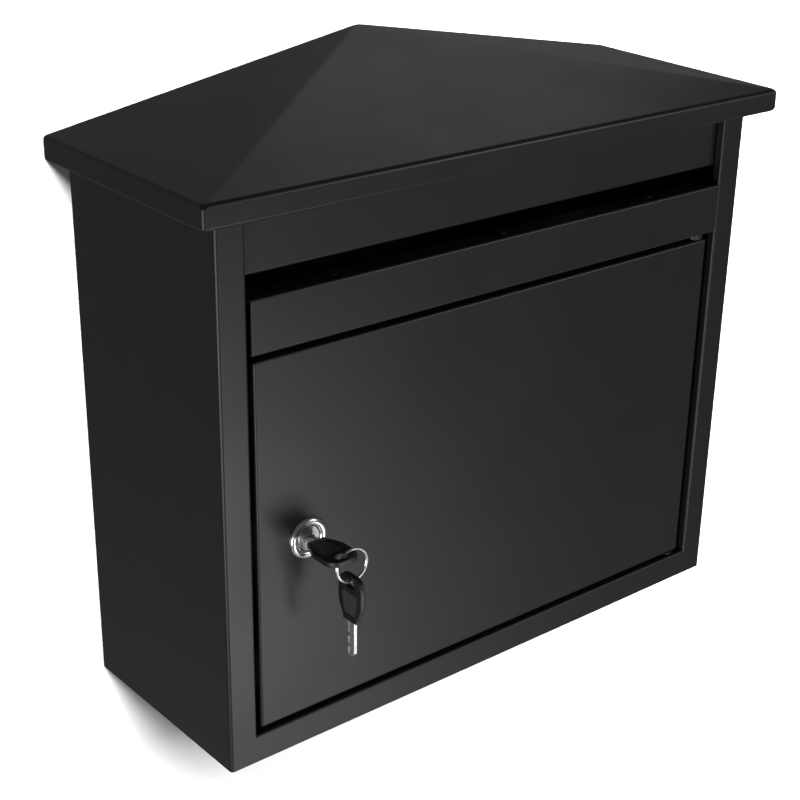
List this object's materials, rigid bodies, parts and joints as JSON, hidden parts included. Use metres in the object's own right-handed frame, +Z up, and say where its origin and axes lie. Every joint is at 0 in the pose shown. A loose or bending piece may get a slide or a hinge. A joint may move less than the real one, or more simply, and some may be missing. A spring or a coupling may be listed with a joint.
{
  "type": "wall mounted mailbox",
  "caption": "Folded steel letter box for a wall: low pyramid roof, mail slot over a side-hinged door, cam lock with a key in it and a spare key on its ring.",
  "frame": {"origin": "centre of the back panel's outer face, on the wall plane, half way between the box's sides and 150 mm above its underside", "axes": "+X to the right of a person facing the box, +Y into the wall, +Z up; the front faces -Y"},
  "size_m": [0.3864, 0.166, 0.3433],
  "materials": {
    "steel_powder_coat": "satin black powder coat with a fine orange-peel texture",
    "lock_chrome": "polished chrome plate",
    "steel_zinc": "zinc plate",
    "key_nickel": "nickel plate, lightly brushed",
    "bow_plastic": "moulded black plastic, half gloss",
    "bush_nylon": "natural nylon",
    "pad_rubber": "black rubber"
  },
  "bodies": {
    "casing": {"body_shell": "steel_powder_coat", "back_panel": "steel_powder_coat", "floor_panel": "steel_powder_coat", "roof_cap": "steel_powder_coat", "front_header": "steel_powder_coat", "slot_rail": "steel_powder_coat", "slot_guard": "steel_powder_coat", "guard_rivet_1": "steel_powder_coat", "guard_rivet_2": "steel_powder_coat", "guard_rivet_3": "steel_powder_coat", "roof_screw_left_front": "steel_zinc", "roof_screw_left_rear": "steel_zinc", "roof_screw_front_left": "steel_zinc", "roof_screw_right_front": "steel_zinc", "roof_screw_right_rear": "steel_zinc", "roof_screw_front_right": "steel_zinc", "roof_nut_left_front": "steel_zinc", "roof_nut_left_rear": "steel_zinc", "roof_nut_front_left": "steel_zinc", "roof_nut_right_front": "steel_zinc", "roof_nut_right_rear": "steel_zinc", "roof_nut_front_right": "steel_zinc", "strike_bracket": "steel_zinc", "stop_bracket_upper": "steel_zinc", "stop_bracket_lower": "steel_zinc", "stop_pad_upper": "pad_rubber", "stop_pad_lower": "pad_rubber", "hinge_bush_upper": "bush_nylon", "hinge_bush_lower": "bush_nylon"},
    "door": {"door_panel": "steel_powder_coat", "hinge_pin_upper": "steel_zinc", "hinge_pin_lower": "steel_zinc", "lock_housing": "lock_chrome", "lock_nut": "steel_zinc"},
    "plug": {"lock_plug": "lock_chrome", "lock_cam": "steel_zinc", "cam_washer": "steel_zinc", "cam_bolt": "steel_zinc"},
    "key": {"key_bow": "bow_plastic", "key_blade": "key_nickel"},
    "ring": {"key_ring": "key_nickel"},
    "spare_key": {"spare_key_bow": "bow_plastic", "spare_key_blade": "key_nickel"}
  },
  "joints": [
    {"name": "door_hinge", "type": "hinge", "parent": "casing", "child": "door", "pos_m": [0.153, -0.123, -0.0289], "axis": [0, 0, 1], "range_deg": [0, 105]},
    {"name": "lock_turn", "type": "hinge", "parent": "door", "child": "plug", "pos_m": [-0.129, -0.1305, -0.0285], "axis": [0, 1, 0], "range_deg": [0, 90]},
    {"name": "key_pull", "type": "slide", "parent": "plug", "child": "key", "axis": [0, -1, 0], "range_m": [0, 0.018]},
    {"name": "ring_turn", "type": "hinge", "parent": "key", "child": "ring", "pos_m": [-0.1224, -0.1565, -0.0345], "axis": [0, 1, 0], "range_deg": [-35, 35]},
    {"name": "spare_key_swing", "type": "hinge", "parent": "ring", "child": "spare_key", "pos_m": [-0.1224, -0.1565, -0.0438], "axis": [1, 0, 0], "range_deg": [-60, 20]}
  ]
}
